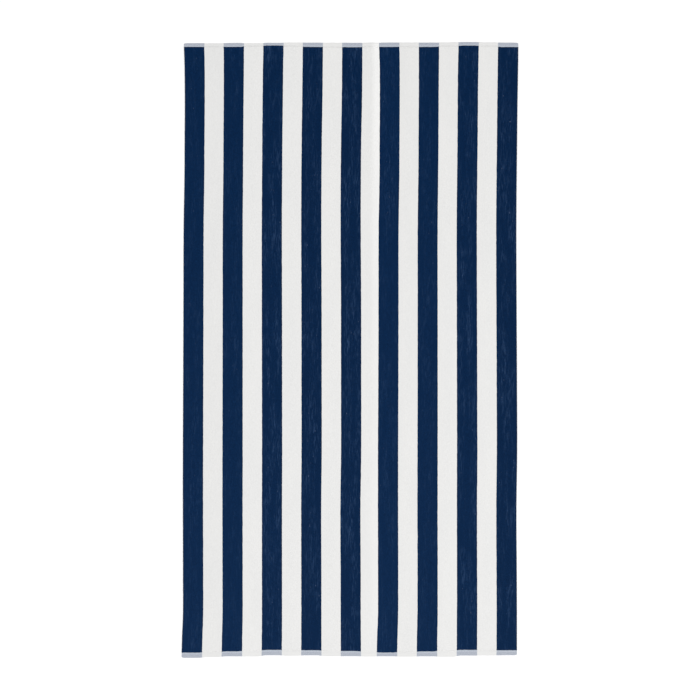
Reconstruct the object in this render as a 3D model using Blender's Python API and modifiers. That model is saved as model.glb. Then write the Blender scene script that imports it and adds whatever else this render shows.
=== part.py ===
"""A striped velour beach towel, lying flat and face up.

The towel is woven in one piece, so it is one closed solid: a sheet of cotton pile
with a thinner flat-woven hem at each end. Its outline strays a little, as cloth does
when it is laid out by hand, and it has one soft lengthwise fold line and a few low
ripples. Everywhere else its underside is flat on the surface.

Frame, in metres: the origin is on that surface, under the middle of the outline.
+X runs across the towel, +Y along it from the foot end to the head end, and +Z up.
"""

from collections import namedtuple

import bpy
import numpy as np
from mathutils import Vector

MM = 0.001

# Driving dimensions, in metres.
TOWEL_WIDTH = 0.965
TOWEL_LENGTH = 1.778
PILE_THICKNESS = 0.0030  # ground cloth with pile on both of its faces
HEM_THICKNESS = 0.0019  # three layers of flat weave
SIDE_THICKNESS = 0.0024  # where the pile rounds off at a long edge
SIDE_SHOULDER = 0.004  # from a long edge to the full height of the pile
PILE_STEP = 0.0016  # from the hem's height up to the pile's
EDGE_RADIUS = 0.0007

# The mesh's spacing: coarse where the towel is plain, fine over the fold line.
COLUMN_SPACING = 0.034
FOLD_COLUMN_SPACING = 0.0085
ROW_SPACING = 0.030

# How far the towel's long lines stray from straight, in millimetres towards +X, at
# stations up its length (0 at the foot, 1 at the head). The lines are its two long
# edges, the two sides of the soft fold, and one line between on either side.
Stray = namedtuple("Stray", "up left inner_left fold_left fold_right inner_right right")
STRAYS = (
    Stray(0.00, -5.5, -1.0, -0.5, -5.5, -0.5, 0.0),
    Stray(0.03, -4.3, -0.5, -0.7, -4.5, -0.3, 0.0),
    Stray(0.06, -1.9, 0.0, -1.2, -2.4, 0.0, 0.0),
    Stray(0.13, -1.5, 0.0, -1.2, -1.8, 0.2, -0.4),
    Stray(0.25, -1.9, 0.0, -2.0, -2.1, 0.0, -1.3),
    Stray(0.32, -1.9, 0.2, 0.0, -2.1, 0.3, 0.5),
    Stray(0.45, -1.0, 0.0, 0.2, -1.0, 0.0, 0.2),
    Stray(0.58, -0.2, -0.3, 0.0, -0.4, -0.3, -1.0),
    Stray(0.71, 0.7, -0.5, -1.2, 0.2, -0.5, -1.6),
    Stray(0.78, 2.7, 0.3, -0.9, 2.5, 0.6, -0.7),
    Stray(0.84, 3.3, 0.9, 0.2, 2.8, 1.7, 0.5),
    Stray(0.91, 3.9, 2.0, 2.6, 3.4, 2.3, 1.9),
    Stray(0.96, 3.1, 3.0, 3.3, 3.0, 3.3, 3.4),
    Stray(1.00, 1.0, 4.5, 3.4, 0.8, 5.0, 4.0),
)
# Where those lines lie across the towel, as shares of its width.
STRAY_LINES = (0.0, 0.235, 0.532, 0.585, 0.822, 1.0)

# The two ends, in millimetres, at the middle of each dark stripe: how far the edge
# strays towards +Y, and how deep the hem is there.
End = namedtuple("End", "across foot foot_hem head head_hem")
ENDS = (
    End(0.029, -4.1, 14.0, -1.5, 11.5),
    End(0.147, -0.3, 13.5, -1.2, 11.5),
    End(0.265, 2.6, 15.5, -0.9, 8.5),
    End(0.383, 2.5, 13.5, 0.1, 12.5),
    End(0.502, -0.4, 13.5, -0.3, 13.5),
    End(0.616, -0.3, 11.0, 0.1, 13.0),
    End(0.735, -0.7, 13.5, 0.1, 12.5),
    End(0.853, 2.3, 15.5, 1.3, 10.0),
    End(0.971, 2.8, 13.0, 0.1, 13.0),
)

# The soft fold line: a low ridge from foot to head whose crest follows its own share of
# the width, with a long flank on its left and a shorter one on its right.
FOLD_CREST = 0.566
FOLD_LEFT_FLANK = 0.042
FOLD_RIGHT_FLANK = 0.022
FoldHeight = namedtuple("FoldHeight", "up height")
FOLD_HEIGHTS = (
    FoldHeight(0.00, 2.2),
    FoldHeight(0.15, 2.4),
    FoldHeight(0.30, 1.2),
    FoldHeight(0.45, 1.4),
    FoldHeight(0.65, 2.8),
    FoldHeight(0.85, 3.6),
    FoldHeight(1.00, 3.4),
)

# Low ripples where the cloth stands off the surface, in metres, with the height in
# millimetres. The turn is in degrees from +Y towards -X, along the ripple's crest.
Ripple = namedtuple("Ripple", "x y turn length width height")
RIPPLES = (
    Ripple(-0.300, 0.560, 14.0, 0.52, 0.150, 1.4),
    Ripple(-0.395, -0.310, -9.0, 0.60, 0.130, 1.3),
    Ripple(-0.135, -0.080, 6.0, 0.70, 0.170, 1.1),
    Ripple(-0.205, -0.700, 24.0, 0.36, 0.120, 1.5),
    Ripple(0.215, 0.290, -12.0, 0.64, 0.150, 1.2),
    Ripple(0.350, -0.230, 8.0, 0.56, 0.140, 1.4),
    Ripple(0.285, -0.705, -20.0, 0.34, 0.120, 1.3),
    Ripple(0.395, 0.660, 10.0, 0.40, 0.110, 1.5),
    Ripple(-0.445, -0.850, 40.0, 0.14, 0.090, 1.8),
)


def through(places, values, place):
    """A smooth curve through the points (places, values), read at place."""
    places, values = np.asarray(places, float), np.asarray(values, float)
    place = np.clip(place, places[0], places[-1])
    left = np.clip(np.searchsorted(places, place) - 1, 0, len(places) - 2)
    slopes = np.gradient(values, places)
    gap = places[left + 1] - places[left]
    t = (place - places[left]) / gap
    return (
        (2 * t**3 - 3 * t**2 + 1) * values[left]
        + (t**3 - 2 * t**2 + t) * gap * slopes[left]
        + (3 * t**2 - 2 * t**3) * values[left + 1]
        + (t**3 - t**2) * gap * slopes[left + 1]
    )


def column(rows, name):
    """One named column of a table."""
    return [getattr(row, name) for row in rows]


def stray(across, up):
    """How far the cloth strays towards +X at a share of its width and length."""
    lines = [
        through(column(STRAYS, "up"), column(STRAYS, name), up)
        for name in Stray._fields[1:]
    ]
    return MM * float(np.interp(across, STRAY_LINES, lines))


def at_end(name, across):
    """One column of the table of ends, at a share of the width."""
    return MM * float(through(column(ENDS, "across"), column(ENDS, name), across))


def hump(distance, reach):
    """A soft hump: 1 in the middle, 0 with no slope from reach outwards."""
    share = np.clip(abs(distance) / reach, 0.0, 1.0)
    return (1 - share**2) ** 2


def fold_lift(x, up):
    """The height of the fold line's ridge at a share of the length."""
    crest = TOWEL_WIDTH * (FOLD_CREST - 0.5) + stray(FOLD_CREST, up)
    flank = FOLD_LEFT_FLANK if x < crest else FOLD_RIGHT_FLANK
    height = through(column(FOLD_HEIGHTS, "up"), column(FOLD_HEIGHTS, "height"), up)
    return MM * float(height) * hump(x - crest, flank)


def ripple_lift(x, y):
    """The height of the highest ripple over this place."""
    highest = 0.0
    for ripple in RIPPLES:
        angle = np.radians(ripple.turn)
        dx, dy = x - ripple.x, y - ripple.y
        along = dy * np.cos(angle) - dx * np.sin(angle)
        aside = dx * np.cos(angle) + dy * np.sin(angle)
        share = hump(along, ripple.length / 2) * hump(aside, ripple.width / 2)
        highest = max(highest, MM * ripple.height * share)
    return highest


def cloth_columns():
    """Where the mesh's columns lie across the towel, from its left edge, in metres."""
    crest = FOLD_CREST * TOWEL_WIDTH
    fold_start = crest - FOLD_LEFT_FLANK
    fold_end = crest + FOLD_RIGHT_FLANK
    stretches = (
        (SIDE_SHOULDER, fold_start, COLUMN_SPACING),
        (fold_start, crest, FOLD_COLUMN_SPACING),
        (crest, fold_end, FOLD_COLUMN_SPACING),
        (fold_end, TOWEL_WIDTH - SIDE_SHOULDER, COLUMN_SPACING),
    )
    columns = [0.0]
    for start, end, spacing in stretches:
        count = round((end - start) / spacing)
        columns += list(np.linspace(start, end, count, endpoint=False))
    return columns + [TOWEL_WIDTH - SIDE_SHOULDER, TOWEL_WIDTH]


def row_count():
    """Rows of vertices: the edge and the hem line at each end, and the pile between."""
    return round(TOWEL_LENGTH / ROW_SPACING) + 5


def row_height(row, across):
    """Where a row of the mesh lies along +Y, at a share of the towel's width."""
    last = row_count() - 1
    foot = -TOWEL_LENGTH / 2 + at_end("foot", across)
    head = TOWEL_LENGTH / 2 + at_end("head", across)
    foot_hem = foot + at_end("foot_hem", across)
    head_hem = head - at_end("head_hem", across)
    if row == 0:
        return foot
    if row == 1:
        return foot_hem - PILE_STEP / 2
    if row == last - 1:
        return head_hem + PILE_STEP / 2
    if row == last:
        return head
    share = (row - 2) / (last - 4)
    low, high = foot_hem + PILE_STEP / 2, head_hem - PILE_STEP / 2
    return low + share * (high - low)


def pile_share(column_number, row, columns):
    """Of the pile's extra height over the hem, the share that stands at a vertex."""
    if row in (0, 1, row_count() - 2, row_count() - 1):
        return 0.0
    if column_number in (0, len(columns) - 1):
        return (SIDE_THICKNESS - HEM_THICKNESS) / (PILE_THICKNESS - HEM_THICKNESS)
    return 1.0


def underside(columns):
    """The cloth's underside as one open grid, with the share of pile at each vertex."""
    rows = row_count()
    bpy.ops.mesh.primitive_grid_add(
        x_subdivisions=len(columns) - 1, y_subdivisions=rows - 1, size=1
    )
    cloth = bpy.context.object
    pile = cloth.vertex_groups.new(name="pile")
    for vertex in cloth.data.vertices:
        column_number = round((vertex.co.x + 0.5) * (len(columns) - 1))
        row = round((vertex.co.y + 0.5) * (rows - 1))
        across = columns[column_number] / TOWEL_WIDTH
        y = row_height(row, across)
        up = y / TOWEL_LENGTH + 0.5
        x = columns[column_number] - TOWEL_WIDTH / 2 + stray(across, up)
        lift = max(fold_lift(x, up), ripple_lift(x, y))
        vertex.co = (x, y, lift)
        share = pile_share(column_number, row, columns)
        pile.add([vertex.index], share, "REPLACE")
    return cloth


def thicken(cloth):
    """Gives the sheet its thickness upwards, thinner at the hems, and soft edges."""
    shell = cloth.modifiers.new("thickness", "SOLIDIFY")
    shell.thickness = PILE_THICKNESS
    shell.offset = 1.0
    shell.vertex_group = "pile"
    shell.thickness_vertex_group = HEM_THICKNESS / PILE_THICKNESS
    rounding = cloth.modifiers.new("rounded edge", "BEVEL")
    rounding.width = EDGE_RADIUS
    rounding.segments = 1
    rounding.limit_method = "ANGLE"
    rounding.angle_limit = np.radians(60.0)


def stand_on_origin(cloth):
    """Moves the towel so that the origin is under the middle of its outline."""
    bpy.context.view_layer.update()
    shape = cloth.evaluated_get(bpy.context.evaluated_depsgraph_get())
    corners = [Vector(corner) for corner in shape.bound_box]
    low_x, high_x = min(c.x for c in corners), max(c.x for c in corners)
    low_y, high_y = min(c.y for c in corners), max(c.y for c in corners)
    for vertex in cloth.data.vertices:
        vertex.co.x -= (low_x + high_x) / 2
        vertex.co.y -= (low_y + high_y) / 2


def cotton():
    """Striped cotton velour, in the navy that covers a little over half of it."""
    material = bpy.data.materials.new("striped cotton velour")
    material.use_nodes = True
    shader = material.node_tree.nodes["Principled BSDF"]
    shader.inputs["Base Color"].default_value = (0.005, 0.021, 0.070, 1.0)
    shader.inputs["Roughness"].default_value = 0.9
    shader.inputs["Metallic"].default_value = 0.0
    return material


def main():
    for obj in list(bpy.data.objects):
        bpy.data.objects.remove(obj)
    collection = bpy.data.collections.new("beach towel")
    bpy.context.scene.collection.children.link(collection)
    towel = underside(cloth_columns())
    towel.name = "towel"
    for home in list(towel.users_collection):
        home.objects.unlink(towel)
    collection.objects.link(towel)
    thicken(towel)
    stand_on_origin(towel)
    towel.data.materials.append(cotton())
    towel.data.shade_smooth()


main()
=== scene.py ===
# %% [markdown]
# # A striped velour beach towel
#
# The towel is one length of cotton, woven with pile on both faces. The face is sheared
# to velour and lies in lengthwise navy and white stripes. Each end is woven flat,
# turned under twice and stitched down, which makes the thin pale hems.
#
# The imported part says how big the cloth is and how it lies. This lesson builds the
# cloth as a fine sheet in the same place, and then adds stitching, edge pile, cotton
# and light.

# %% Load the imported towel
import math
from collections import namedtuple

import bpy
import numpy as np
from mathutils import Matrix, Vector


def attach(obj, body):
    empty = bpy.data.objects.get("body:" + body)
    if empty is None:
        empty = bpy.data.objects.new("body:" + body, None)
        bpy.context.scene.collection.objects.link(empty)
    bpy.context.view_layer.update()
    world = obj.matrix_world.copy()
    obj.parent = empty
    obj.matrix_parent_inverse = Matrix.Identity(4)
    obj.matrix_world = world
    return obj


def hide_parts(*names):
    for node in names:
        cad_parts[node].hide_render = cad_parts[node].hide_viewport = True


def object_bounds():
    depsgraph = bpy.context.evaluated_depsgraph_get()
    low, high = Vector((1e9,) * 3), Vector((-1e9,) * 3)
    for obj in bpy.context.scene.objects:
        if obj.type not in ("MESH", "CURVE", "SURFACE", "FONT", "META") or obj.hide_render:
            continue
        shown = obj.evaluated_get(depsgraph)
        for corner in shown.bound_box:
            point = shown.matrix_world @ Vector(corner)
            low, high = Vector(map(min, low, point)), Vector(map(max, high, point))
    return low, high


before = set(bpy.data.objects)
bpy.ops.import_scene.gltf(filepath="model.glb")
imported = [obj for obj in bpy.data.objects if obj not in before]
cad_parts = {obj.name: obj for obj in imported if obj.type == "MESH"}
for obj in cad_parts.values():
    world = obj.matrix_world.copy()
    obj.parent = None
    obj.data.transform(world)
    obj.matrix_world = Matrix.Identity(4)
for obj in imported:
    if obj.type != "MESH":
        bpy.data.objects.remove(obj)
cad_low, cad_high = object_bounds()
MM = 0.001
print("the packed towel measures", [round(s / MM, 1) for s in cad_high - cad_low], "mm")

# %% [markdown]
# ## The camera
#
# The camera stands right above the towel and shows it whole. A long lens from high up
# keeps the long edges parallel. The width of its view is stated in metres on the cloth,
# and its height follows from the lens.

# %% Set the camera above the towel
LENS_MM = 85.0
SENSOR_MM = 36.0
VIEW_WIDTH = 2.0285
VIEW_CENTRE = (0.0001, -0.0001)
FACE_HEIGHT = 0.003

camera_height = FACE_HEIGHT + VIEW_WIDTH * LENS_MM / SENSOR_MM
bpy.ops.object.camera_add(location=(*VIEW_CENTRE, camera_height), rotation=(0, 0, 0))
camera = bpy.context.object
camera.data.lens = LENS_MM
camera.data.sensor_width = SENSOR_MM
bpy.context.scene.camera = camera
print("the camera stands", round(camera_height, 2), "m above the surface")

# %% [markdown]
# ## How the cloth lies
#
# Cloth laid out by hand is never quite straight. Its lengthwise lines stray a few
# millimetres to either side, its ends bow, and one soft fold line runs from end to end.
# Short tables hold those strays, and a smooth curve is drawn along each lengthwise
# line. The part's source has the same fold line and ripples, and the same lengthwise
# lines to about a millimetre. Its ends are plainer: here every stripe has an end of
# its own.

# %% State the sizes of the towel
WIDTH = 0.965
LENGTH = 1.778
PILE_HEIGHT = 3.0 * MM
STRIPES = 17
WHITE_SHARE = 0.95  # navy pile leans a little over the white beside it
NARROW_STRIPE = 9  # counted from 0: the white stripe on the fold line looks narrower
NARROW_SHARE = 0.875

widths = np.ones(STRIPES)
widths[1::2] = WHITE_SHARE
widths[NARROW_STRIPE] = NARROW_SHARE
stripe_edges = np.concatenate(([0.0], np.cumsum(widths))) / widths.sum()
print("a stripe is", round((stripe_edges[1] - stripe_edges[0]) * WIDTH / MM, 1), "mm wide")

# %% Note how far the lengthwise lines stray
Stray = namedtuple("Stray", "up left inner_left fold_left fold_right inner_right right")
STRAYS = (  # millimetres towards +X, at shares of the length
    Stray(0.00, -5.5, -1.6, 0.5, -5.1, -1.1, 1.2),
    Stray(0.03, -4.3, -1.1, 0.3, -4.1, -0.9, 1.2),
    Stray(0.06, -1.9, -0.6, -0.2, -2.0, -0.6, 1.2),
    Stray(0.13, -1.5, -0.6, -0.2, -1.4, -0.4, 0.8),
    Stray(0.25, -1.9, -0.6, -1.0, -1.7, -0.6, -0.1),
    Stray(0.32, -1.9, -0.4, 1.0, -1.7, -0.3, 1.7),
    Stray(0.45, -1.0, -0.6, 1.2, -0.6, -0.6, 1.4),
    Stray(0.58, -0.2, -0.9, 1.0, 0.0, -0.9, 0.2),
    Stray(0.71, 0.7, -1.1, -0.2, 0.6, -1.1, -0.4),
    Stray(0.78, 2.7, -0.3, 0.1, 2.9, 0.0, 0.5),
    Stray(0.84, 3.3, 0.3, 1.2, 3.2, 1.1, 1.7),
    Stray(0.91, 3.9, 1.4, 3.6, 3.8, 1.7, 3.1),
    Stray(0.96, 3.1, 2.4, 4.3, 3.4, 2.7, 4.6),
    Stray(1.00, 1.0, 3.9, 4.4, 1.2, 4.4, 5.2),
)
STRAY_LINES = (0.0, 0.235, 0.532, 0.585, 0.822, 1.0)

# %% Note how the two ends bow, and where each hem stops
End = namedtuple("End", "foot foot_line head head_line")
ENDS = (  # by stripe: millimetres towards +Y off a straight end, and in to the hem line
    End(-4.8, 10.7, -1.4, 12.3),
    End(-2.7, 12.5, -1.9, 12.3),
    End(-0.5, 14.2, -1.0, 12.3),
    End(-1.0, 16.3, -2.1, 10.3),
    End(2.8, 18.4, -0.6, 8.3),
    End(1.2, 18.0, 0.4, 10.5),
    End(2.4, 17.5, 0.1, 12.6),
    End(-0.4, 16.3, -0.2, 13.0),
    End(-0.2, 15.1, -0.3, 13.3),
    End(-0.6, 13.0, -1.6, 12.8),
    End(-0.4, 10.9, 0.3, 12.3),
    End(-1.7, 12.5, 0.3, 12.4),
    End(-0.5, 14.1, 0.3, 12.4),
    End(-2.3, 16.3, 0.7, 10.4),
    End(1.7, 18.4, 1.8, 8.4),
    End(1.8, 17.9, 0.7, 10.6),
    End(2.6, 17.3, 0.1, 12.8),
)

# %% Note the fold line and the low ripples
FOLD_CREST = 0.566  # a share of the width; the flanks on either side are in metres
FOLD_LEFT_FLANK = 0.042
FOLD_RIGHT_FLANK = 0.022
FoldHeight = namedtuple("FoldHeight", "up height")
FOLD_HEIGHTS = (  # millimetres, at shares of the length
    FoldHeight(0.00, 2.2),
    FoldHeight(0.15, 2.4),
    FoldHeight(0.30, 1.2),
    FoldHeight(0.45, 1.4),
    FoldHeight(0.65, 2.8),
    FoldHeight(0.85, 3.6),
    FoldHeight(1.00, 3.4),
)
Ripple = namedtuple("Ripple", "x y turn length width height")
RIPPLES = (  # metres, with the turn in degrees and the height in millimetres
    Ripple(-0.300, 0.560, 14.0, 0.52, 0.150, 1.4),
    Ripple(-0.395, -0.310, -9.0, 0.60, 0.130, 1.3),
    Ripple(-0.135, -0.080, 6.0, 0.70, 0.170, 1.1),
    Ripple(-0.205, -0.700, 24.0, 0.36, 0.120, 1.5),
    Ripple(0.215, 0.290, -12.0, 0.64, 0.150, 1.2),
    Ripple(0.350, -0.230, 8.0, 0.56, 0.140, 1.4),
    Ripple(0.285, -0.705, -20.0, 0.34, 0.120, 1.3),
    Ripple(0.395, 0.660, 10.0, 0.40, 0.110, 1.5),
    Ripple(-0.445, -0.850, 40.0, 0.14, 0.090, 1.8),
)


# %% Draw a smooth curve through a table's column
def through(rows, name, place):
    """The column called name, in metres, at shares of the length."""
    places = np.array([row.up for row in rows])
    values = np.array([getattr(row, name) for row in rows]) * MM
    place = np.clip(place, places[0], places[-1])
    left = np.clip(np.searchsorted(places, place) - 1, 0, len(places) - 2)
    slopes = np.gradient(values, places)
    gap = places[left + 1] - places[left]
    t = (place - places[left]) / gap
    return (
        (2 * t**3 - 3 * t**2 + 1) * values[left]
        + (t**3 - 2 * t**2 + t) * gap * slopes[left]
        + (3 * t**2 - 2 * t**3) * values[left + 1]
        + (t**3 - t**2) * gap * slopes[left + 1]
    )


def stray(across, up):
    """How far the cloth strays towards +X at shares of its width and length."""
    total = np.zeros_like(across)
    for name, only_this in zip(Stray._fields[1:], np.eye(len(STRAY_LINES))):
        total += np.interp(across, STRAY_LINES, only_this) * through(STRAYS, name, up)
    return total


def hump(distance, reach):
    """A soft hump: 1 in the middle, 0 with no slope from reach outwards."""
    share = np.clip(np.abs(distance) / reach, 0.0, 1.0)
    return (1 - share**2) ** 2


def lift(x, y, up):
    """How high the cloth stands off the surface: on the fold line and the ripples."""
    crest = WIDTH * (FOLD_CREST - 0.5) + stray(np.full_like(up, FOLD_CREST), up)
    flank = np.where(x < crest, FOLD_LEFT_FLANK, FOLD_RIGHT_FLANK)
    highest = through(FOLD_HEIGHTS, "height", up) * hump(x - crest, flank)
    for ripple in RIPPLES:
        angle = math.radians(ripple.turn)
        dx, dy = x - ripple.x, y - ripple.y
        along = dy * math.cos(angle) - dx * math.sin(angle)
        aside = dx * math.cos(angle) + dy * math.sin(angle)
        share = hump(along, ripple.length / 2) * hump(aside, ripple.width / 2)
        highest = np.maximum(highest, ripple.height * MM * share)
    return highest


# %% [markdown]
# ## The cloth as a fine grid
#
# The sheet starts as a flat grid. Every stripe gets the same number of columns, so the
# stripes' edges run along the mesh's own edges. Close rows and columns round off the
# pile where it ends, along the long edges and at the hems. The rows of a hem follow
# its section: a rolled outer edge, the flat turned layers, the groove that the
# stitching pulls down, and the foot of the pile.

# %% List the columns across the cloth
COLUMNS_PER_STRIPE = 18
SideColumn = namedtuple("SideColumn", "inward top bottom")
SIDE_COLUMNS = (  # millimetres in from a long edge, and the height of both faces there
    SideColumn(0.0, 1.75, 0.75),
    SideColumn(0.35, 2.25, 0.35),
    SideColumn(0.9, 2.65, 0.10),
    SideColumn(1.8, 2.92, 0.0),
)

inner = []
for left, right in zip(stripe_edges[:-1], stripe_edges[1:]):
    inner += list(np.linspace(left, right, COLUMNS_PER_STRIPE, endpoint=False))
side = np.array([column.inward for column in SIDE_COLUMNS]) * MM / WIDTH
columns = np.array(sorted(list(side) + inner[1:] + list(1 - side)))
print("the grid has", len(columns), "columns")

# %% List the rows along the cloth
HemRow = namedtuple("HemRow", "share top bottom")
HEM_ROWS = (  # a share of the hem's depth, and the height of both faces in millimetres
    HemRow(0.00, 1.30, 0.60),
    HemRow(0.03, 1.66, 0.22),
    HemRow(0.09, 1.88, 0.03),
    HemRow(0.20, 1.92, 0.0),
    HemRow(0.42, 1.86, 0.0),
    HemRow(0.60, 1.84, 0.02),
    HemRow(0.68, 1.68, 0.18),
    HemRow(0.73, 1.48, 0.34),
    HemRow(0.78, 1.68, 0.18),
    HemRow(0.86, 1.82, 0.02),
    HemRow(0.95, 1.70, 0.05),
    HemRow(1.00, 1.55, 0.50),
)
PileRow = namedtuple("PileRow", "inward top bottom")
PILE_ROWS = (  # millimetres in from the hem line
    PileRow(0.15, 2.30, 0.45),
    PileRow(0.6, 2.80, 0.15),
    PileRow(1.4, 3.04, 0.0),
    PileRow(3.0, 3.06, 0.0),
    PileRow(6.0, 3.00, 0.0),
)
PLAIN_ROWS = 122
end_rows = len(HEM_ROWS) + len(PILE_ROWS)
row_count = 2 * end_rows + PLAIN_ROWS
print("the grid has", row_count, "rows")

# %% [markdown]
# ## Placing the grid
#
# Blender adds the grid one unit across. Each point is then moved to its place: across
# by the table of strays, and along between the two bowed ends. The place in the flat
# cloth is kept as an attribute called "cloth", because the weave and the stripes belong
# to the cloth and not to the room. Its first two numbers are metres across and along,
# and the third counts stripes. A second attribute, "hem_share", runs from 0 at a hem's
# outer edge to 1 in the pile.

# %% Add the grid and number its points
bpy.ops.object.select_all(action="DESELECT")
bpy.ops.mesh.primitive_grid_add(
    x_subdivisions=len(columns) - 1, y_subdivisions=row_count - 1, size=1
)
towel = bpy.context.object
towel.name = "towel_cloth"


def values_of(items, name, width=1, kind=float):
    """One value, or a row of width values, for each of a mesh's items."""
    values = np.empty(len(items) * width, kind)
    items.foreach_get(name, values)
    return values.reshape(-1, width) if width > 1 else values


grid = values_of(towel.data.vertices, "co", 3)
column_of = np.rint((grid[:, 0] + 0.5) * (len(columns) - 1)).astype(int)
row_of = np.rint((grid[:, 1] + 0.5) * (row_count - 1)).astype(int)
across = columns[column_of]
print("the grid has", len(grid), "points")


# %% Read a value for each stripe, with soft steps between stripes
STEP_SHARE = 0.16  # the share of a stripe over which one value becomes the next
stripes_at = np.interp(columns, stripe_edges, np.arange(STRIPES + 1))


def by_stripe_row(name):
    """The ENDS column called name, for every column of the grid, in metres."""
    values = np.array([getattr(row, name) for row in ENDS]) * MM
    places, held = [], []
    for number, value in enumerate(values):
        places += [number + STEP_SHARE, number + 1 - STEP_SHARE]
        held += [value, value]
    return np.interp(stripes_at, places, held)


# %% Lay the rows between the two ends
def uneven(places, spacing, seed):
    """Smooth uneven values from -1 to 1 along a line, about spacing apart."""
    count = int(np.ptp(places) / spacing) + 3
    values = np.random.default_rng(seed).uniform(-1, 1, count)
    return np.interp((places - places.min()) / spacing, np.arange(count), values)


RAGGED = 0.35 * MM  # how uneven the pile's edge is at a hem
RAGGED_STEP = 4 * MM
CORNER_PULL = 2.2 * MM
CORNER_REACH = 7 * MM


def end_lines(edge, line, sign, seed):
    """Where an end of the cloth and its hem line lie along Y, for every column."""
    from_corner = np.minimum(columns, 1 - columns) * WIDTH
    rounding = CORNER_PULL * (1 - np.clip(from_corner / CORNER_REACH, 0, 1)) ** 2
    ends = sign * (LENGTH / 2 - rounding) + by_stripe_row(edge)
    ragged = RAGGED * uneven(columns * WIDTH, RAGGED_STEP, seed)
    return ends, sign * (LENGTH / 2 - by_stripe_row(line) - ragged)


foot_edge, foot_line = end_lines("foot", "foot_line", -1, seed=3)
head_edge, head_line = end_lines("head", "head_line", 1, seed=4)

rows_along = [foot_edge + (foot_line - foot_edge) * row.share for row in HEM_ROWS]
rows_along += [foot_line + row.inward * MM for row in PILE_ROWS]
first, last = rows_along[-1], head_line - PILE_ROWS[-1].inward * MM
for step in range(1, PLAIN_ROWS + 1):
    rows_along.append(first + (last - first) * step / (PLAIN_ROWS + 1))
rows_along += [head_line - row.inward * MM for row in reversed(PILE_ROWS)]
rows_along += [
    head_edge + (head_line - head_edge) * row.share for row in reversed(HEM_ROWS)
]
y = np.array(rows_along)[row_of, column_of]
print("the cloth runs from", round(y.min(), 4), "to", round(y.max(), 4), "m")

# %% Work out how thick the cloth is at every point
Section = namedtuple("Section", "top bottom")
plain = [Section(PILE_HEIGHT / MM, 0.0)] * PLAIN_ROWS
ends = [*HEM_ROWS, *PILE_ROWS]
sections = ends + plain + ends[::-1]
top = np.array([s.top for s in sections])[row_of] * MM
bottom = np.array([s.bottom for s in sections])[row_of] * MM
in_pile = (row_of >= len(HEM_ROWS)) & (row_of < row_count - len(HEM_ROWS))

from_side = np.minimum(across, 1 - across) * WIDTH
rounded = [c.inward * MM for c in SIDE_COLUMNS]
side_top = np.interp(from_side, rounded, [c.top for c in SIDE_COLUMNS]) * MM
side_bottom = np.interp(from_side, rounded, [c.bottom for c in SIDE_COLUMNS]) * MM
top = np.where(from_side < rounded[-1], np.minimum(top, side_top), top)
bottom = np.maximum(bottom, np.where(from_side < rounded[-1], side_bottom, 0))
print("the pile is", PILE_HEIGHT / MM, "mm high and a hem", HEM_ROWS[3].top, "mm")


# %% [markdown]
# ## Pile that isn't quite even
#
# Sheared pile stands in lengthwise rows, and hands and folding brush it up and down.
# So the face gets long shallow furrows, a tenth or two of a millimetre deep. Stitching
# draws a hem in a little as well, and the cloth beside it stands in small puckers.
# In broad patches the cloth doesn't quite settle on the surface.

# %% Make smooth uneven values over the cloth
FIELD_START = 0.03  # how far before the foot's straight end the values start
FIELD_SPARE = 0.1  # how much longer than the cloth they run


def uneven_field(u, v, cell, seed):
    """Smooth uneven values from -1 to 1 over the cloth, in cells this wide and long."""
    across_step, along_step = cell
    count_u = int(WIDTH / across_step) + 4
    count_v = int((LENGTH + FIELD_SPARE) / along_step) + 4
    cells = np.random.default_rng(seed).uniform(-1, 1, (count_v, count_u))
    a, b = u / across_step, (v + FIELD_START) / along_step
    i, j = a.astype(int), b.astype(int)
    s, t = a - i, b - j
    s, t = s * s * (3 - 2 * s), t * t * (3 - 2 * t)
    near = cells[j, i] * (1 - s) + cells[j, i + 1] * s
    far = cells[j + 1, i] * (1 - s) + cells[j + 1, i + 1] * s
    return near * (1 - t) + far * t


# %% Add furrows in the pile and puckers at the hems
FURROW, FURROW_CELL = 0.10 * MM, (7 * MM, 70 * MM)  # how high, then how wide and long
BRUSHED, BRUSHED_CELL = 0.12 * MM, (24 * MM, 160 * MM)
PUCKER, PUCKER_CELL = 0.55 * MM, (11 * MM, 300 * MM)
UNSETTLED, UNSETTLED_CELL = 0.5 * MM, (90 * MM, 130 * MM)
PUCKER_REACH = 45 * MM
PUCKER_GAIN = 0.2  # makes puckers a little more common than the flat cloth between them

u, v = across * WIDTH, y + LENGTH / 2
furrows = FURROW * uneven_field(u, v, FURROW_CELL, seed=11)
furrows += BRUSHED * uneven_field(u, v, BRUSHED_CELL, seed=12)
from_end = np.minimum(y - foot_edge[column_of], head_edge[column_of] - y)
pucker = PUCKER * hump(from_end, PUCKER_REACH)
pucker *= np.clip(uneven_field(u, v, PUCKER_CELL, seed=13) + PUCKER_GAIN, 0, 1)
unsettled = UNSETTLED * np.clip(uneven_field(u, v, UNSETTLED_CELL, seed=14), 0, 1)
print("the deepest furrow is", round(float(-furrows.min()) / MM, 2), "mm")

# %% Place the points and keep their place in the cloth
x = (across - 0.5) * WIDTH + stray(across, y / LENGTH + 0.5)
raised = np.maximum(lift(x, y, y / LENGTH + 0.5), unsettled) + pucker
shift_x = (cad_low.x + cad_high.x - x.min() - x.max()) / 2
shift_y = (cad_low.y + cad_high.y - y.min() - y.max()) / 2
x, y = x + shift_x, y + shift_y
under = np.column_stack((x, y, raised + bottom))
over = np.column_stack((x, y, raised + top + np.where(in_pile, furrows, 0)))
towel.data.vertices.foreach_set("co", under.ravel())

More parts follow.
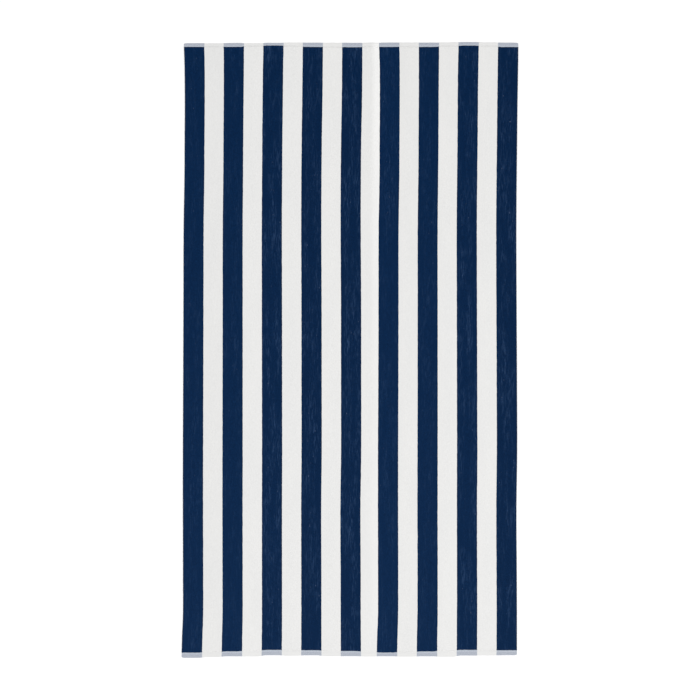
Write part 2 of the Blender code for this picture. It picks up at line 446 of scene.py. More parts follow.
stripes_across = np.interp(across, stripe_edges, np.arange(STRIPES + 1))
cloth_place = towel.data.attributes.new("cloth", "FLOAT_VECTOR", "POINT")
cloth_place.data.foreach_set("vector", np.column_stack((u, v, stripes_across)).ravel())
hem_shares = [row.share for row in HEM_ROWS] + [1.0] * len(PILE_ROWS)
hem_shares = np.array(hem_shares + [1.0] * PLAIN_ROWS + hem_shares[::-1])
hem_place = towel.data.attributes.new("hem_share", "FLOAT", "POINT")
hem_place.data.foreach_set("value", hem_shares[row_of])
print("the cloth lies", round(float(raised.max()) / MM, 1), "mm off the surface at most")


# %% [markdown]
# ## Giving the sheet its thickness
#
# A Solidify modifier turns the grid into a closed cloth with a face, an underside and
# a rim. The grid's own points become the face, and copies of them the underside. The
# modifier can't know a hem's section, so once it is applied, both layers' points are
# moved to the heights worked out above.

# %% Thicken the grid
def select_only(piece):
    """Selects one piece and makes it the active one."""
    bpy.ops.object.select_all(action="DESELECT")
    piece.select_set(True)
    bpy.context.view_layer.objects.active = piece


def apply_modifiers(piece):
    """Applies a piece's modifiers in order, as the Apply button does."""
    select_only(piece)
    for modifier in list(piece.modifiers):
        bpy.ops.object.modifier_apply(modifier=modifier.name)


layer = towel.modifiers.new("thickness", "SOLIDIFY")
layer.thickness = PILE_HEIGHT
layer.offset = 1.0
apply_modifiers(towel)
towel.data.vertices.foreach_set("co", np.vstack((over, under)).ravel())
towel.data.update()
bpy.ops.object.shade_smooth()
print("the cloth has", len(towel.data.polygons) * 2, "triangles")

# %% Sort the cloth's faces into navy pile, white pile, hem and loops
NAVY_PILE, WHITE_PILE, FLAT_HEM, LOOPS = range(4)
corners = values_of(towel.data.loops, "vertex_index", kind=int).reshape(-1, 4)
point = corners % len(grid)
face_across = across[point].mean(axis=1)
face_row = row_of[point].mean(axis=1)
stripe = np.searchsorted(stripe_edges, face_across) - 1
kind = np.where(stripe % 2 == 0, NAVY_PILE, WHITE_PILE)
kind[(corners >= len(grid)).all(axis=1)] = LOOPS
hem_face = (face_row < len(HEM_ROWS) - 1) | (face_row > row_count - len(HEM_ROWS))
kind[hem_face] = FLAT_HEM
towel.data.polygons.foreach_set("material_index", kind)
print("faces of each kind:", np.bincount(kind))


# %% [markdown]
# ## Cotton, dyed in stripes
#
# The stripes are dyed yarn, so their colour runs right through the pile. The cloth
# knows how many stripes in it is at each point, so rounding that number down gives the
# stripe, and odd stripes are white. A little noise moves each stripe's edge by up to a
# millimetre, because cut pile leans over its neighbour. A colour ramp across the whole
# width would be simpler, but Cycles reads a ramp in 256 steps, and its edges would land
# up to two millimetres off.

# %% Make helpers for materials
def new_material(name, **values):
    """A material whose shader has these values, its sockets' spaces as underscores."""
    material = bpy.data.materials.new(name)
    material.use_nodes = True
    shader = material.node_tree.nodes["Principled BSDF"]
    for words, value in values.items():
        socket = words.replace("_", " ").title().replace("Ior", "IOR")
        shader.inputs[socket].default_value = value
    return material, material.node_tree, shader


def node(tree, kind, inputs=(), **settings):
    """Adds a node. Each input is a value or another node's output, in socket order."""
    made = tree.nodes.new(kind)
    for name, value in settings.items():
        setattr(made, name, value)
    for number, value in enumerate(inputs):
        if isinstance(value, bpy.types.NodeSocket):
            tree.links.new(value, made.inputs[number])
        elif value is not None:
            made.inputs[number].default_value = value
    return made


def maths(tree, operation, first, second):
    """One sum between two values or sockets."""
    return node(tree, "ShaderNodeMath", (first, second), operation=operation).outputs[0]


def blend(tree, share, first, second, how="MIX"):
    """Two colours mixed by a share from 0 to 1."""
    mixer = tree.nodes.new("ShaderNodeMix")
    mixer.data_type, mixer.blend_type = "RGBA", how
    for name, value in (("Factor", share), ("A", first), ("B", second)):
        socket = next(s for s in mixer.inputs if s.name == name and s.enabled)
        if isinstance(value, bpy.types.NodeSocket):
            tree.links.new(value, socket)
        else:
            socket.default_value = value
    return next(s for s in mixer.outputs if s.enabled)


# %% Read the cloth's own coordinates
def cloth_coordinates(tree):
    """The place in the flat cloth, in metres, as a vector."""
    return node(tree, "ShaderNodeAttribute", attribute_name="cloth").outputs["Vector"]


def part_of(tree, coordinates, axis):
    """The X, Y or Z of the cloth's coordinates."""
    return node(tree, "ShaderNodeSeparateXYZ", (coordinates,)).outputs[axis]


def window(tree, value, low, high, to_low=0.0, to_high=1.0):
    """A value stretched so that low to high becomes to_low to to_high, and held there."""
    stretched = node(tree, "ShaderNodeMapRange", (value, low, high, to_low, to_high))
    return stretched.outputs[0]


# %% Make grain on the cloth
# Cells to the metre, how finely they are broken up, and which part of the noise shows.
Grain = namedtuple("Grain", "across along detail low high", defaults=(2.0, 0.0, 1.0))


def grain_on(tree, coordinates, grain):
    """Noise from 0 to 1 over the cloth."""
    scaled = node(tree, "ShaderNodeMapping", (coordinates,))
    scaled.inputs["Scale"].default_value = (grain.across, grain.along, 1)
    noise = node(tree, "ShaderNodeTexNoise", (scaled.outputs[0],))
    noise.inputs["Scale"].default_value = 1.0
    noise.inputs["Detail"].default_value = grain.detail
    if (grain.low, grain.high) == (0.0, 1.0):
        return noise.outputs["Fac"]
    return window(tree, noise.outputs["Fac"], grain.low, grain.high)


# %% Draw the stripes
PILE_FUZZ = 1.4 * MM
HEM_FUZZ = 0.5 * MM
WANDERS = (Grain(45, 45), Grain(520, 520))


def stripe_number(tree, coordinates, fuzz=PILE_FUZZ):
    """Which stripe a point is in, counted from 0 at the left edge."""
    place = part_of(tree, coordinates, "Z")
    for grain in WANDERS:
        wander = maths(tree, "SUBTRACT", grain_on(tree, coordinates, grain), 0.5)
        wander = maths(tree, "MULTIPLY", wander, fuzz * STRIPES / WIDTH)
        place = maths(tree, "ADD", place, wander)
    held = maths(tree, "MINIMUM", maths(tree, "MAXIMUM", place, 0), STRIPES - 0.5)
    return maths(tree, "FLOOR", held, None)


def is_white(tree, number):
    """1 in a white stripe and 0 in a navy one."""
    return maths(tree, "MODULO", number, 2)


def by_stripe(tree, number, values):
    """One of these values for each stripe, read at the middle of a ramp's stops."""
    middle = maths(tree, "DIVIDE", maths(tree, "ADD", number, 0.5), STRIPES)
    ramp = node(tree, "ShaderNodeValToRGB", (middle,))
    stops = ramp.color_ramp
    stops.interpolation = "CONSTANT"
    stops.elements.remove(stops.elements[-1])
    for count, value in enumerate(values):
        stop = stops.elements[0] if count == 0 else stops.elements.new(count / STRIPES)
        stop.color = (value, value, value, 1)
    return ramp.outputs["Color"]


# %% [markdown]
# ## Velour
#
# Sheared pile is matt and soft. Brushed one way it catches the light more than the
# other way, so navy velour shows faint lengthwise streaks of painted sheen, about two
# centimetres long, and a few pale specks of lint. Some stripes are streaked more than
# others, and look a little darker between their streaks. Towards the foot end, painted
# light makes the navy a little lighter. White velour hides all that, and only looks a
# little greyer here than there, with painted light on the fold line.

# %% State the cotton's colours
NAVY = (0.0017, 0.0150, 0.0540, 1)
# A lighter navy, mixed in as painted sheen and painted light on the navy pile.
PAINTED_LIGHT_NAVY = (0.0200, 0.0480, 0.1150, 1)
LINT = (0.090, 0.120, 0.190, 1)
WHITE = (0.732, 0.729, 0.720, 1)
SHADED_WHITE = (0.706, 0.706, 0.702, 1)
# How strongly each navy stripe is streaked with painted sheen and specked with lint, and how
# light each stripe looks.
STREAKED = (0.45, 0.40, 1.0, 0.8, 1.0, 0.45, 0.40, 0.9, 0.9)
NAVY_LIGHTNESS = (1.0, 0.99, 0.94, 0.90, 0.90, 1.0, 0.97, 0.94, 0.90)
WHITE_LIGHTNESS = (0.980, 1.0, 1.0, 1.0, 1.006, 0.995, 1.0, 1.0)
streaks_by_stripe, lightness_by_stripe = np.zeros(STRIPES), np.zeros(STRIPES)
streaks_by_stripe[0::2] = STREAKED
lightness_by_stripe[0::2] = NAVY_LIGHTNESS
lightness_by_stripe[1::2] = WHITE_LIGHTNESS


# %% Colour the navy yarn, with painted sheen and painted light
# Streaks of painted sheen, where the pile is brushed different ways.
FINE_STREAKS = Grain(330, 44, 3.0, 0.46, 0.70)
BROAD_STREAKS = Grain(60, 7, 2.0, 0.38, 0.70)
LINT_SPECKS = Grain(230, 110, 1.0, 0.75, 0.80)
FOOT_PAINTED_LIGHT = 0.10  # how much more painted light lightens the navy at the foot than at the head


def navy_colour(tree, coordinates, number):
    """Navy yarn with lint, streaks of painted sheen, and painted light towards the foot."""
    broad = grain_on(tree, coordinates, BROAD_STREAKS)
    amount = maths(tree, "MULTIPLY", broad, by_stripe(tree, number, streaks_by_stripe))
    fine = grain_on(tree, coordinates, FINE_STREAKS)
    streaks = maths(tree, "MULTIPLY", fine, amount)
    along = part_of(tree, coordinates, "Y")
    # Painted light: the navy drawn lighter towards the foot end, where the lights shine
    # brighter.
    painted_foot_light = window(tree, along, 0.0, LENGTH, FOOT_PAINTED_LIGHT, 0.0)
    # The streaks and the foot end mix towards the lighter navy: painted sheen and painted
    # light.
    brush_and_painted_light = blend(tree, maths(tree, "ADD", streaks, painted_foot_light), NAVY, PAINTED_LIGHT_NAVY)
    light = by_stripe(tree, number, lightness_by_stripe)
    brush_and_painted_light = blend(tree, 1.0, brush_and_painted_light, light, "MULTIPLY")
    specks = maths(tree, "MULTIPLY", grain_on(tree, coordinates, LINT_SPECKS), amount)
    return blend(tree, specks, brush_and_painted_light, LINT)


# %% Colour the white yarn, with painted light on the fold line
CLOUDS = Grain(9, 5, 3.0, 0.35, 0.65)
CLOUDINESS = 0.6
FOLD_LIGHT_MID = 0.025  # how much painted light brightens the pile on the fold line's lower part
FOLD_LIGHT_HEAD = 0.125
FOLD_LIGHT_RISES = (-0.50, -0.22)  # in stripes from the narrow stripe's right edge
FOLD_LIGHT_DROPS = (0.20, 0.50)
FOLD_LIGHT_GROWS = 0.4  # the share of the length from which it grows towards the head
FOLD_LIGHT_STARTS = 0.05  # the share of the length over which it comes up at the foot


def painted_fold_light(tree, coordinates):
    """Painted light on the fold line's right flank: how much lighter the white pile is drawn,
    1 where it isn't.
    """
    stripes = part_of(tree, coordinates, "Z")
    along = part_of(tree, coordinates, "Y")
    rises = [NARROW_STRIPE + 1 + share for share in FOLD_LIGHT_RISES]
    drops = [NARROW_STRIPE + 1 + share for share in FOLD_LIGHT_DROPS]
    rise = window(tree, stripes, *rises)
    on_fold = maths(tree, "MULTIPLY", rise, window(tree, stripes, *drops, 1.0, 0.0))
    grows_from = FOLD_LIGHT_GROWS * LENGTH
    amount = window(tree, along, grows_from, LENGTH, FOLD_LIGHT_MID, FOLD_LIGHT_HEAD)
    start = window(tree, along, 0.0, FOLD_LIGHT_STARTS * LENGTH)
    amount = maths(tree, "MULTIPLY", amount, start)
    return maths(tree, "ADD", maths(tree, "MULTIPLY", on_fold, amount), 1.0)


def white_colour(tree, coordinates, number):
    """White yarn, a little uneven, with painted light where the fold line's right flank faces
    the light.
    """
    clouds = maths(tree, "MULTIPLY", grain_on(tree, coordinates, CLOUDS), CLOUDINESS)
    cloudy = blend(tree, clouds, WHITE, SHADED_WHITE)
    light = by_stripe(tree, number, lightness_by_stripe)
    # Painted light on the fold line's right flank.
    light = maths(tree, "MULTIPLY", light, painted_fold_light(tree, coordinates))
    return blend(tree, 1.0, cloudy, light, "MULTIPLY")


# %% Put both yarns in their stripes
def striped_colour(tree, coordinates, brush_and_painted_light=0.0, white_gain=1.0):
    """Both yarns, with painted light added to the navy by a share and to the white by a gain.
    """
    number = stripe_number(tree, coordinates)
    dark = navy_colour(tree, coordinates, number)
    # Painted light: the navy mixed by a share towards the lighter painted navy.
    dark = blend(tree, brush_and_painted_light, dark, PAINTED_LIGHT_NAVY)
    pale = white_colour(tree, coordinates, number)
    pale = blend(tree, 1.0, pale, (white_gain, white_gain, white_gain, 1), "MULTIPLY")
    return blend(tree, is_white(tree, number), dark, pale)


# %% Raise the pile
CUT_TUFTS = Grain(760, 456, 2.0, 0.25, 0.75)
ROWS_PER_METRE = 522
ROW_DEPTH = 0.16
BUMP_STRENGTH = 0.7


def pile_height(tree, coordinates):
    """How high the cut pile stands, about 0 to 1: tufts in lengthwise rows."""
    turn = maths(tree, "MULTIPLY", part_of(tree, coordinates, "X"), math.tau * ROWS_PER_METRE)
    ridge = maths(tree, "MULTIPLY", maths(tree, "SINE", turn, None), ROW_DEPTH)
    return maths(tree, "ADD", grain_on(tree, coordinates, CUT_TUFTS), ridge)


def bumped(tree, shader, height, depth, strength=BUMP_STRENGTH):
    """Gives a shader a normal raised by this height, in metres."""
    bump = node(tree, "ShaderNodeBump")
    bump.inputs["Strength"].default_value = strength
    bump.inputs["Distance"].default_value = depth
    tree.links.new(height, bump.inputs["Height"])
    tree.links.new(bump.outputs["Normal"], shader.inputs["Normal"])


def shaded_between(tree, colour, height, darkest, lightest):
    """A colour that is darker where little light gets down between the tufts."""
    shade = window(tree, height, 0.0, 1.0, darkest, lightest)
    return blend(tree, 1.0, colour, shade, "MULTIPLY")


# %% Make the velour materials
BRUSH_MARKS = Grain(220, 14)
PILE_BUMP = 0.45 * MM


def velour(name, gloss, sheen, tint, shades):
    """Striped velour, with the gloss, sheen and shading of its main colour."""
    material, tree, shader = new_material(
        name, roughness=0.92, specular_ior_level=gloss, sheen_weight=sheen, sheen_roughness=0.3
    )
    shader.inputs["Sheen Tint"].default_value = tint
    coordinates = cloth_coordinates(tree)
    height = pile_height(tree, coordinates)
    colour = shaded_between(tree, striped_colour(tree, coordinates), height, *shades)
    tree.links.new(colour, shader.inputs["Base Color"])
    brush_and_painted_light = grain_on(tree, coordinates, BRUSH_MARKS)
    bumped(tree, shader, maths(tree, "ADD", height, brush_and_painted_light), PILE_BUMP)
    return material


navy_velour = velour(
    "navy velour", gloss=0.04, sheen=0.10, tint=(0.20, 0.40, 0.85, 1), shades=(0.60, 1.40)
)
white_velour = velour(
    "white velour", gloss=0.20, sheen=0.08, tint=(1.0, 1.0, 1.0, 1), shades=(0.92, 1.08)
)
print("made", navy_velour.name, "and", white_velour.name)

# %% [markdown]
# ## Flat weave and loops
#
# A hem has no pile. Over a navy stripe its pale weft crosses washed-out blue warp, and
# the two mix into a light blue grey. Over a white stripe it is white. Two sine waves,
# one along each set of threads, draw the plain weave. The underside is left as loops.

# %% Make the flat weave of the hems
WARP_BLUE = (0.245, 0.280, 0.370, 1)
PALE_WEFT = (0.505, 0.525, 0.565, 1)
PALE_BESIDE_PILE = (0.520, 0.590, 0.680, 1)  # lighter and bluer beside the pile
PALE_BESIDE_PILE_RISES = (0.55, 0.95)  # the shares of a hem's depth between which it comes in
PALE_BESIDE_PILE_SHARE = 0.45
THREADS_PER_METRE = 2100
THREAD_EDGE = 0.6  # 1 would round the threads off all the way, and 0 not at all
SLUBS = Grain(60, 900)
SLUBS_SHOW = (0.4, 0.7)
SLUB_SHARE = 0.25
WEAVE_BUMP = 0.15 * MM


def plain_weave(tree, coordinates):
    """1 where a weft thread is on top and 0 where a warp thread is."""
    waves = []
    for axis in ("X", "Y"):
        place = part_of(tree, coordinates, axis)
        turn = maths(tree, "MULTIPLY", place, math.pi * THREADS_PER_METRE)
        waves.append(maths(tree, "SINE", turn, None))
    crossed = maths(tree, "MULTIPLY", *waves)
    return window(tree, crossed, -THREAD_EDGE, THREAD_EDGE)


def flat_weave(name):
    """The stitched-down hem."""
    material, tree, shader = new_material(
        name, roughness=0.85, specular_ior_level=0.25, sheen_weight=0.05
    )
    coordinates = cloth_coordinates(tree)
    number = stripe_number(tree, coordinates, HEM_FUZZ)
    weave = plain_weave(tree, coordinates)
    slub = grain_on(tree, coordinates, SLUBS)
    mixed = blend(tree, weave, WARP_BLUE, PALE_WEFT)
    mixed = blend(tree, window(tree, slub, *SLUBS_SHOW, 0.0, SLUB_SHARE), mixed, PALE_WEFT)
    share = node(tree, "ShaderNodeAttribute", attribute_name="hem_share").outputs["Fac"]
    beside_pile = window(tree, share, *PALE_BESIDE_PILE_RISES, 0.0, PALE_BESIDE_PILE_SHARE)
    mixed = blend(tree, beside_pile, mixed, PALE_BESIDE_PILE)
    pale = white_colour(tree, coordinates, number)
    colour = blend(tree, is_white(tree, number), mixed, pale)
    tree.links.new(colour, shader.inputs["Base Color"])
    bumped(tree, shader, maths(tree, "ADD", weave, slub), WEAVE_BUMP)
    return material


hem_weave = flat_weave("flat weave")
print("made", hem_weave.name)


# %% Make the looped underside
LOOPS_PER_METRE = (480, 380)
LOOP_REACH = 0.9  # how far a loop's side runs down, in cells from its top
LOOP_SHADES = (0.55, 1.25)
LOOP_BUMP = 0.8 * MM
LOOP_STRENGTH = 0.9


def looped(name):
    """Uncut terry loops in the same stripes."""
    material, tree, shader = new_material(
        name, roughness=0.95, specular_ior_level=0.08, sheen_weight=0.05
    )
    coordinates = cloth_coordinates(tree)
    scaled = node(tree, "ShaderNodeMapping", (coordinates,))
    scaled.inputs["Scale"].default_value = (*LOOPS_PER_METRE, 1)
    loops = node(tree, "ShaderNodeTexVoronoi", (scaled.outputs[0],))
    loops.inputs["Scale"].default_value = 1.0
    height = window(tree, loops.outputs["Distance"], 0.0, LOOP_REACH, 1.0, 0.0)
    colour = shaded_between(tree, striped_colour(tree, coordinates), height, *LOOP_SHADES)
    tree.links.new(colour, shader.inputs["Base Color"])
    bumped(tree, shader, height, LOOP_BUMP, LOOP_STRENGTH)
    return material


terry_loops = looped("terry loops")
for material in (navy_velour, white_velour, hem_weave, terry_loops):
    towel.data.materials.append(material)
print("the cloth wears", [m.name for m in towel.data.materials])


# %% [markdown]
# ## Stitching
#
# A lockstitch holds each hem down, and shows as a line of short threads on both faces.
# One stitch is a small rounded grain whose ends dip into the cloth. An Array modifier
# repeats it, and a Curve modifier bends the row along the hem's groove, so the row
# follows every bow of the end.

# %% Draw the line that a row of stitches follows
STITCH_LENGTH = 2.5 * MM
STITCH_PITCH = 3.1 * MM
THREAD = 0.60 * MM
STITCH_PROUD = 0.30  # how far its middle stands out, as a share of the thread
STITCH_DIP = 0.75  # and how far its ends dip from there
STITCH_SHARE = 0.73
GROOVE_ROW = [row.share for row in HEM_ROWS].index(STITCH_SHARE)


def stitch_line(row, layer):
    """A curve along one row of the cloth's points, on its face or its underside."""
    chosen = np.flatnonzero(row_of == row)
    chosen = chosen[np.argsort(column_of[chosen])][2:-2]
    path = layer[chosen]
    curve = bpy.data.curves.new("stitch line", "CURVE")
    curve.dimensions = "3D"
    curve.twist_mode = "Z_UP"
    spline = curve.splines.new("POLY")
    spline.points.add(len(path) - 1)
    spline.points.foreach_set("co", np.column_stack((path, np.ones(len(path)))).ravel())
    line = bpy.data.objects.new("stitch line", curve)
    bpy.context.scene.collection.objects.link(line)
    return line


# %% Model one stitch and repeat it along a hem
def stitch_row(name, row, layer, up):
    """A row of stitches on the face (up is 1) or on the underside (up is -1)."""
    line = stitch_line(row, layer)
    bpy.ops.object.select_all(action="DESELECT")
    bpy.ops.mesh.primitive_uv_sphere_add(
        segments=8, ring_count=6, radius=THREAD / 2, rotation=(0, math.pi / 2, 0)
    )
    stitch = bpy.context.object
    stitch.name = name
    bpy.ops.object.transform_apply(location=True, rotation=True, scale=True)
    shape = values_of(stitch.data.vertices, "co", 3)
    shape[:, 0] *= STITCH_LENGTH / THREAD
    dip = (shape[:, 0] / (STITCH_LENGTH / 2)) ** 2
    shape[:, 2] += up * THREAD * (STITCH_PROUD - STITCH_DIP * dip)
    stitch.data.vertices.foreach_set("co", shape.ravel())
    bpy.ops.object.shade_smooth()
    repeat = stitch.modifiers.new("row", "ARRAY")
    repeat.fit_type = "FIT_CURVE"
    repeat.curve = line
    repeat.use_relative_offset = False
    repeat.use_constant_offset = True
    repeat.constant_offset_displace = (STITCH_PITCH, 0, 0)
    follow = stitch.modifiers.new("hem", "CURVE")
    follow.object = line
    apply_modifiers(stitch)
    bpy.data.objects.remove(line)
    return stitch


head_groove = row_count - 1 - GROOVE_ROW
stitching = [
    stitch_row("foot_hem_stitches", GROOVE_ROW, over, 1),
    stitch_row("head_hem_stitches", head_groove, over, 1),
    stitch_row("foot_hem_stitches_under", GROOVE_ROW, under, -1),
    stitch_row("head_hem_stitches_under", head_groove, under, -1),
]
for row in stitching:
    print(row.name, "has", len(row.data.polygons), "faces")


# %% Make the sewing thread
THREAD_SHADE = (0.66, 0.67, 0.69, 1)
THREAD_LIGHT = (0.74, 0.74, 0.74, 1)
TWISTS = 900
TWIST_BUMP = 0.05 * MM


def sewing_thread(name):
    """White cotton thread of two twisted strands."""
    material, tree, shader = new_material(name, roughness=0.6, specular_ior_level=0.35)
    place = node(tree, "ShaderNodeTexCoord").outputs["Object"]
    noise = node(tree, "ShaderNodeTexNoise", (place,))
    noise.inputs["Scale"].default_value = TWISTS
    pale = blend(tree, noise.outputs["Fac"], THREAD_SHADE, THREAD_LIGHT)
    tree.links.new(pale, shader.inputs["Base Color"])
    strands = node(tree, "ShaderNodeTexWave", (place,), bands_direction="DIAGONAL")
    strands.inputs["Scale"].default_value = TWISTS
    bumped(tree, shader, strands.outputs["Fac"], TWIST_BUMP)
    return material


thread = sewing_thread("white sewing thread")
for row in stitching:
    row.data.materials.append(thread)
print("stitched with", thread.name)

# %% [markdown]
# ## Pile at the edges
#
# Seen from close by, velour doesn't end in a clean line. Single tufts lean out over
# the long edges and over the hems. They grow on a copy of just those faces: Geometry
# Nodes scatters points there, stands a small blunt tuft on each, and realizes them
# as one mesh. Each point hands its place in the cloth on to its tuft, so every tuft
# takes the colour of the stripe that it grows in.

# %% Model one tuft
TUFT_LENGTH = 0.95 * MM
TUFT_ROOT = 0.20 * MM
TUFT_TIP = 0.22 * MM
TUFT_SUNK = 0.1  # how far below the face its middle is, as a share of its length

bpy.ops.object.select_all(action="DESELECT")
bpy.ops.mesh.primitive_cone_add(
    vertices=3, radius1=TUFT_ROOT, radius2=TUFT_TIP, depth=TUFT_LENGTH,
    location=(0, 0, -TUFT_LENGTH * TUFT_SUNK),
)
tuft = bpy.context.object
tuft.name = "one_tuft"
bpy.ops.object.transform_apply(location=True, rotation=True, scale=True)
TUFT_POINTS = len(tuft.data.vertices)
print("a tuft has", TUFT_POINTS, "points")


# %% Build the node group that grows tufts
TUFT_LEAN = 0.45  # radians, to any side
TUFT_SIZES = (0.6, 1.25)


def tuft_nodes(per_square_mm, seed):
    """Scatters tufts over a piece's faces and hands back only the tufts."""
    tree = bpy.data.node_groups.new("grow tufts", "GeometryNodeTree")
    for way in ("INPUT", "OUTPUT"):
        tree.interface.new_socket("Geometry", in_out=way, socket_type="NodeSocketGeometry")
    faces = node(tree, "NodeGroupInput")
    result = node(tree, "NodeGroupOutput")
    scatter = node(tree, "GeometryNodeDistributePointsOnFaces")
    scatter.inputs["Density"].default_value = per_square_mm / MM**2
    scatter.inputs["Seed"].default_value = seed
    one = node(tree, "GeometryNodeObjectInfo")
    one.inputs["Object"].default_value = tuft
    turn = node(tree, "FunctionNodeRandomValue", data_type="FLOAT_VECTOR")
    turn.inputs[0].default_value = (-TUFT_LEAN, -TUFT_LEAN, -math.pi)
    turn.inputs[1].default_value = (TUFT_LEAN, TUFT_LEAN, math.pi)
    rotate = node(tree, "FunctionNodeRotateRotation", rotation_space="LOCAL")
    size = node(tree, "FunctionNodeRandomValue", data_type="FLOAT")
    size.inputs[2].default_value, size.inputs[3].default_value = TUFT_SIZES
    stand = node(tree, "GeometryNodeInstanceOnPoints")
    realize = node(tree, "GeometryNodeRealizeInstances")
    links = (
        (faces.outputs[0], scatter.inputs["Mesh"]),
        (scatter.outputs["Points"], stand.inputs["Points"]),
        (one.outputs["Geometry"], stand.inputs["Instance"]),
        (scatter.outputs["Rotation"], rotate.inputs["Rotation"]),
        (turn.outputs["Value"], rotate.inputs["Rotate By"]),
        (rotate.outputs["Rotation"], stand.inputs["Rotation"]),
        (size.outputs[1], stand.inputs["Scale"]),
        (stand.outputs["Instances"], realize.inputs["Geometry"]),
        (realize.outputs["Geometry"], result.inputs[0]),
    )
    for output, socket in links:
        tree.links.new(output, socket)
    return tree


# %% Grow tufts on chosen faces of the cloth
def edge_pile(name, chosen, per_square_mm, seed):
    """Tufts on the chosen faces, as one piece."""
    select_only(towel)
    bpy.ops.object.duplicate()
    piece = bpy.context.object
    piece.name = name
    bpy.ops.object.mode_set(mode="EDIT")
    bpy.ops.mesh.select_mode(type="FACE")
    bpy.ops.object.mode_set(mode="OBJECT")
    piece.data.polygons.foreach_set("select", ~chosen)
    bpy.ops.object.mode_set(mode="EDIT")
    bpy.ops.mesh.delete(type="FACE")
    bpy.ops.object.mode_set(mode="OBJECT")
    grow = piece.modifiers.new("tufts", "NODES")
    grow.node_group = tuft_nodes(per_square_mm, seed)
    apply_modifiers(piece)
    piece.data.materials.clear()
    piece.data.materials.append(loose_pile)
    print(name, "has", sum(len(f.vertices) - 2 for f in piece.data.polygons), "triangles")
    return piece


# %% Colour the loose tufts by the stripe they grow in
# Tufts shade each other, so their yarn is made lighter to look like the pile beside them.
TUFT_PAINTED_LIGHT = 0.45
TUFT_WHITE_GAIN = 1.22
YARN_GRAIN = 1500
YARN_SHADES = (0.9, 1.1)


def tuft_cotton(name):
    """Cotton for single tufts: the stripes, without the pile's bump."""
    material, tree, shader = new_material(
        name, roughness=0.95, specular_ior_level=0.05, sheen_weight=0.05
    )
    coordinates = cloth_coordinates(tree)
    colour = striped_colour(tree, coordinates, TUFT_PAINTED_LIGHT, TUFT_WHITE_GAIN)
    place = node(tree, "ShaderNodeTexCoord").outputs["Object"]
    yarn = node(tree, "ShaderNodeTexNoise", (place,))
    yarn.inputs["Scale"].default_value = YARN_GRAIN
    colour = shaded_between(tree, colour, yarn.outputs["Fac"], *YARN_SHADES)
    tree.links.new(colour, shader.inputs["Base Color"])
    return material


loose_pile = tuft_cotton("loose pile")

# %% Choose the faces along the edges and grow their pile
EDGE_REACH = 2.0 * MM
HEM_LINE_ROWS = 3  # rows of faces
EDGE_TUFTS = 4.5  # to the square millimetre
HEM_LINE_TUFTS = 6.0

on_face = (corners < len(grid)).all(axis=1)
pile_face = on_face & ~hem_face
near_left = pile_face & (face_across * WIDTH < EDGE_REACH)
near_right = pile_face & ((1 - face_across) * WIDTH < EDGE_REACH)
pile_start = len(HEM_ROWS) - 1
pile_end = pile_start + HEM_LINE_ROWS
near_foot = on_face & (face_row > pile_start) & (face_row < pile_end)
row_from_head = row_count - 1 - face_row
near_head = on_face & (row_from_head > pile_start) & (row_from_head < pile_end)

edge_pieces = [
    edge_pile("left_edge_pile", near_left, EDGE_TUFTS, seed=21),
    edge_pile("right_edge_pile", near_right, EDGE_TUFTS, seed=22),
    edge_pile("foot_hem_line_pile", near_foot, HEM_LINE_TUFTS, seed=23),
    edge_pile("head_hem_line_pile", near_head, HEM_LINE_TUFTS, seed=24),
]
bpy.data.objects.remove(tuft)

# %% [markdown]
# ## A map for each striped piece
#
# A game keeps a model's colours in square images, and a map says which spot of the
# image each bit of surface reads. The spots of a map that Blender lays out by itself
# cut across the stripes, and their edges come out stepped. So the cloth's layout is
# given here: its face in one half, its underside in the other, every stripe a whole number
# of spots wide, and every hem line between two spots. Each tuft takes a few spots, in
# the order in which the tufts stand, so it only shares them with its near neighbours.

# %% Lay the cloth out on its map
MAP_NAME = "OFBake"
MAP_SPOTS = 1024  # along each side of the image
NAVY_SPOTS = 30
WHITE_SPOTS = 28
NARROW_SPOTS = 26
HEM_SPOTS = 14
PILE_END_SPOTS = 8
RIM_SPOTS = 3
FACE_START = 8
UNDER_START = 520
FOOT_START = 10
LENGTH_SPOTS = 1004

stripe_spots = np.where(np.arange(STRIPES) % 2 == 0, NAVY_SPOTS, WHITE_SPOTS)
stripe_spots[NARROW_STRIPE] = NARROW_SPOTS
spot_edges = np.concatenate(([0], np.cumsum(stripe_spots)))
spots_across = np.interp(columns, stripe_edges, spot_edges)
end_spots = [row.share * HEM_SPOTS for row in HEM_ROWS]
for row in PILE_ROWS:
    end_spots.append(HEM_SPOTS + PILE_END_SPOTS * row.inward / PILE_ROWS[-1].inward)
end_spots = np.array(end_spots)
plain_spots = np.linspace(end_spots[-1], LENGTH_SPOTS - end_spots[-1], PLAIN_ROWS + 2)
spots_along = np.concatenate(
    (end_spots, plain_spots[1:-1], LENGTH_SPOTS - end_spots[::-1])
)
print("the cloth's face is", spots_across[-1], "by", spots_along[-1], "spots")

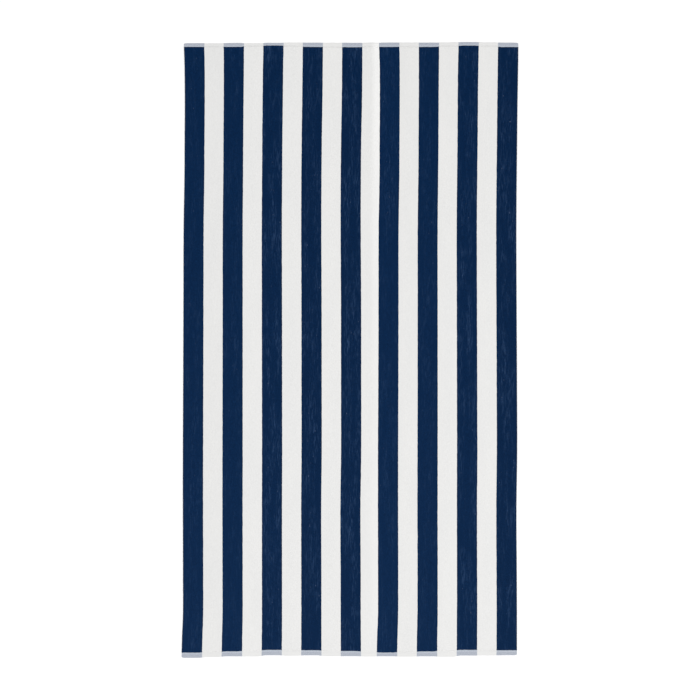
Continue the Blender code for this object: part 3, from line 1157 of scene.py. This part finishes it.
# %% Give the cloth its map, with its rim folded outwards round the face
corner_column, corner_row = column_of[point], row_of[point]
is_under = corners >= len(grid)
under_face = is_under.all(axis=1)
rim_face = is_under.any(axis=1) & ~under_face
spot_u = FACE_START + spots_across[corner_column]
spot_v = FOOT_START + spots_along[corner_row]
turned_over = UNDER_START + spots_across[-1] - spots_across[corner_column]
spot_u[under_face] = turned_over[under_face]
folded_out = is_under & rim_face[:, None]
rims = (
    (corner_column == 0, -1, 0),
    (corner_column == len(columns) - 1, 1, 0),
    (corner_row == 0, 0, -1),
    (corner_row == row_count - 1, 0, 1),
)
for on_rim, step_u, step_v in rims:
    moved = folded_out & on_rim.all(axis=1)[:, None]
    spot_u += RIM_SPOTS * step_u * moved
    spot_v += RIM_SPOTS * step_v * moved
cloth_map = towel.data.uv_layers.new(name=MAP_NAME)
cloth_map.data.foreach_set("uv", np.stack((spot_u, spot_v), axis=-1).ravel() / MAP_SPOTS)
print("laid out", len(corners), "faces")

# %% Give every tuft its few spots
TUFT_MAP_ROWS = 64
TUFT_MAP_WIDTH = 0.004
TUFT_MAP_MARGIN = 0.005


def spread_tufts(piece):
    """Lays a piece's tufts out in the order that they stand along the cloth."""
    mesh = piece.data
    corner_point = values_of(mesh.loops, "vertex_index", kind=int)
    place = values_of(mesh.attributes["cloth"].data, "vector", 3)[:, :2]
    along = place[:, np.argmax(np.ptp(place, axis=0))]
    share = (along - along.min()) / np.ptp(along)
    own = values_of(mesh.uv_layers[0].data, "uv", 2)
    tuft_row = corner_point // TUFT_POINTS % TUFT_MAP_ROWS
    spot_u = TUFT_MAP_MARGIN + (1 - 2 * TUFT_MAP_MARGIN) * share[corner_point]
    spot_u += TUFT_MAP_WIDTH * (own[:, 0] - 0.5)
    spots = np.column_stack((spot_u, (tuft_row + own[:, 1]) / TUFT_MAP_ROWS))
    mesh.uv_layers.new(name=MAP_NAME).data.foreach_set("uv", spots.ravel())
    return int(corner_point.max() + 1) // TUFT_POINTS


for piece in edge_pieces:
    print(piece.name, "has", spread_tufts(piece), "tufts")

# %% [markdown]
# ## Tell the frame what each piece is
#
# The fine cloth stands for the imported part's plain solid, and everything sewn to it or
# growing on it goes with it. At each end the cloth is turned under by the hem's depth
# again and a narrow tuck inside it.

for piece in [towel] + stitching + edge_pieces:
    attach(piece, "root")
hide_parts("towel")

# %% [markdown]
# ## Floor and light
#
# The towel lies on a plain white floor under big soft lights, a little brighter from
# the foot end, so nothing casts a hard shadow and the white cotton still reads against
# the floor.

# %% Lay the floor
FLOOR_SIZE = 40
bpy.ops.object.select_all(action="DESELECT")
bpy.ops.mesh.primitive_plane_add(size=FLOOR_SIZE, location=(0, 0, 0))
floor = bpy.context.object
floor.name = "floor"
floor_paint, _, floor_shader = new_material("white floor", roughness=0.8)
floor_shader.inputs["Base Color"].default_value = (0.95, 0.95, 0.95, 1)
floor.data.materials.append(floor_paint)


# %% Hang the lights
LIGHT_SIZE = 4.5
ROOM_LIGHT = 0.65


def soft_light(name, place, aim, watts):
    """A square softbox that points at a place on the floor."""
    bpy.ops.object.light_add(type="AREA", location=place)
    light = bpy.context.object
    light.name = name
    light.data.shape = "SQUARE"
    light.data.size = LIGHT_SIZE
    light.data.energy = watts
    direction = Vector(aim) - Vector(place)
    light.rotation_euler = direction.to_track_quat("-Z", "Y").to_euler()


soft_light("key light", place=(1.8, -2.4, 6.0), aim=(0, -0.2, 0), watts=211)
soft_light("fill light", place=(-2.6, 2.2, 6.0), aim=(0, 0, 0), watts=89)
world = bpy.data.worlds.new("white room")
bpy.context.scene.world = world
world.use_nodes = True
sky = world.node_tree.nodes["Background"]
sky.inputs["Color"].default_value = (1, 1, 1, 1)
sky.inputs["Strength"].default_value = ROOM_LIGHT
bpy.context.scene.view_settings.view_transform = "Standard"
